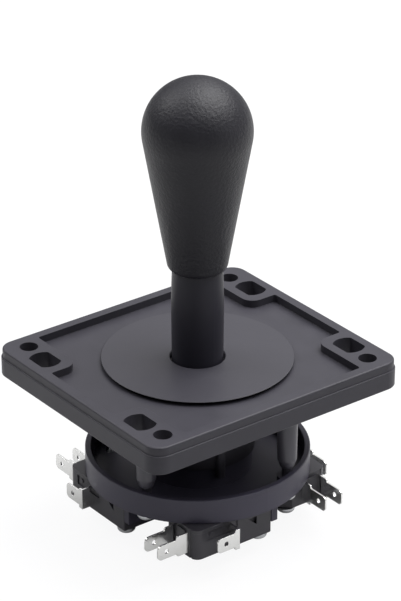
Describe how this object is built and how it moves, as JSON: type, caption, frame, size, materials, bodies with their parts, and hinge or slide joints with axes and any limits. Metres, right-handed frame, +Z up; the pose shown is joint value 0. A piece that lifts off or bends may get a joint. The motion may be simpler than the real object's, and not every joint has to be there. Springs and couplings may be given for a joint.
{
  "type": "arcade joystick",
  "caption": "Bat-handled panel joystick that tilts on a ball pivot and presses snap switches under a square mounting plate.",
  "frame": {"origin": "centre of the round-hole bolt pattern, in the plane of the mounting plate's top rim, on the upright stick's axis", "axes": "+Z up along the stick, X along the plate's slots and its short side, Y along its long side"},
  "size_m": [0.0794, 0.0896, 0.1404],
  "materials": {
    "plate_plastic": "fine satin moulding texture, black",
    "base_plastic": "satin moulded black",
    "washer_plastic": "satin sheet, black",
    "grip_plastic": "fine grained matte black",
    "sleeve_plastic": "smooth satin black",
    "acetal": "natural acetal, waxy satin",
    "acetal_sheet": "thin black acetal sheet",
    "rubber": "matte black rubber",
    "switch_plastic": "glass filled phenolic black, slightly glossy",
    "plunger_plastic": "smooth moulded",
    "shaft_steel": "ground bright steel",
    "spring_steel": "spring metal",
    "zinc_steel": "bright zinc plated",
    "tin_plate": "tin plated, satin"
  },
  "bodies": {
    "mount": {"mounting_plate": "plate_plastic", "standoff_posts": "plate_plastic", "pivot_socket": "acetal", "ball_retainer": "acetal", "base_housing": "base_plastic", "base_screws": "zinc_steel", "switch_screws": "zinc_steel", "switch_front_case": "switch_plastic", "switch_front_cover": "switch_plastic", "switch_front_terminal_no": "tin_plate", "switch_front_terminal_nc": "tin_plate", "switch_front_terminal_com": "tin_plate", "switch_front_snap_blade": "spring_steel", "switch_right_case": "switch_plastic", "switch_right_cover": "switch_plastic", "switch_right_terminal_no": "tin_plate", "switch_right_terminal_nc": "tin_plate", "switch_right_terminal_com": "tin_plate", "switch_right_snap_blade": "spring_steel", "switch_back_case": "switch_plastic", "switch_back_cover": "switch_plastic", "switch_back_terminal_no": "tin_plate", "switch_back_terminal_nc": "tin_plate", "switch_back_terminal_com": "tin_plate", "switch_back_snap_blade": "spring_steel", "switch_left_case": "switch_plastic", "switch_left_cover": "switch_plastic", "switch_left_terminal_no": "tin_plate", "switch_left_terminal_nc": "tin_plate", "switch_left_terminal_com": "tin_plate", "switch_left_snap_blade": "spring_steel"},
    "slip": {"slip_washer": "acetal_sheet"},
    "dust": {"dust_washer": "washer_plastic"},
    "grommet": {"centering_grommet": "rubber"},
    "pivot": {"pivot_ball": "acetal"},
    "stick": {"steel_shaft": "shaft_steel", "shaft_sleeve": "sleeve_plastic", "bat_handle": "grip_plastic", "actuator": "base_plastic", "retaining_washer": "zinc_steel", "retaining_ring": "spring_steel"},
    "plunger_front": {"switch_front_plunger": "plunger_plastic"},
    "plunger_right": {"switch_right_plunger": "plunger_plastic"},
    "plunger_back": {"switch_back_plunger": "plunger_plastic"},
    "plunger_left": {"switch_left_plunger": "plunger_plastic"}
  },
  "joints": [
    {"name": "tilt_x", "type": "hinge", "parent": "mount", "child": "grommet", "pos_m": [0, 0, -0.015], "axis": [1, 0, 0], "range_deg": [-7, 7], "stiffness_Nm_per_rad": 2, "deforming": ["centering_grommet"]},
    {"name": "tilt_y", "type": "hinge", "parent": "grommet", "child": "pivot", "pos_m": [0, 0, -0.015], "axis": [0, 1, 0], "range_deg": [-7, 7], "stiffness_Nm_per_rad": 2, "deforming": ["centering_grommet"]},
    {"name": "stick_spin", "type": "hinge", "parent": "pivot", "child": "stick", "pos_m": [0, 0, -0.015], "axis": [0, 0, 1], "continuous": true},
    {"name": "slip_slide", "type": "slide", "parent": "mount", "child": "slip", "axis": [0, 1, 0], "range_m": [-0.0017, 0.0017]},
    {"name": "dust_slide", "type": "slide", "parent": "slip", "child": "dust", "axis": [1, 0, 0], "range_m": [-0.0017, 0.0017]},
    {"name": "plunger_front_press", "type": "slide", "parent": "mount", "child": "plunger_front", "axis": [0, -1, 0], "range_m": [0, 0.0012], "stiffness_N_per_m": 400, "springref_m": -0.001},
    {"name": "plunger_right_press", "type": "slide", "parent": "mount", "child": "plunger_right", "axis": [1, 0, 0], "range_m": [0, 0.0012], "stiffness_N_per_m": 400, "springref_m": -0.001},
    {"name": "plunger_back_press", "type": "slide", "parent": "mount", "child": "plunger_back", "axis": [0, 1, 0], "range_m": [0, 0.0012], "stiffness_N_per_m": 400, "springref_m": -0.001},
    {"name": "plunger_left_press", "type": "slide", "parent": "mount", "child": "plunger_left", "axis": [-1, 0, 0], "range_m": [0, 0.0012], "stiffness_N_per_m": 400, "springref_m": -0.001}
  ],
  "couplings": [
    {"joint": "slip_slide", "follows": "tilt_x", "m_per_rad": -0.0135},
    {"joint": "dust_slide", "follows": "tilt_y", "m_per_rad": 0.0135}
  ]
}
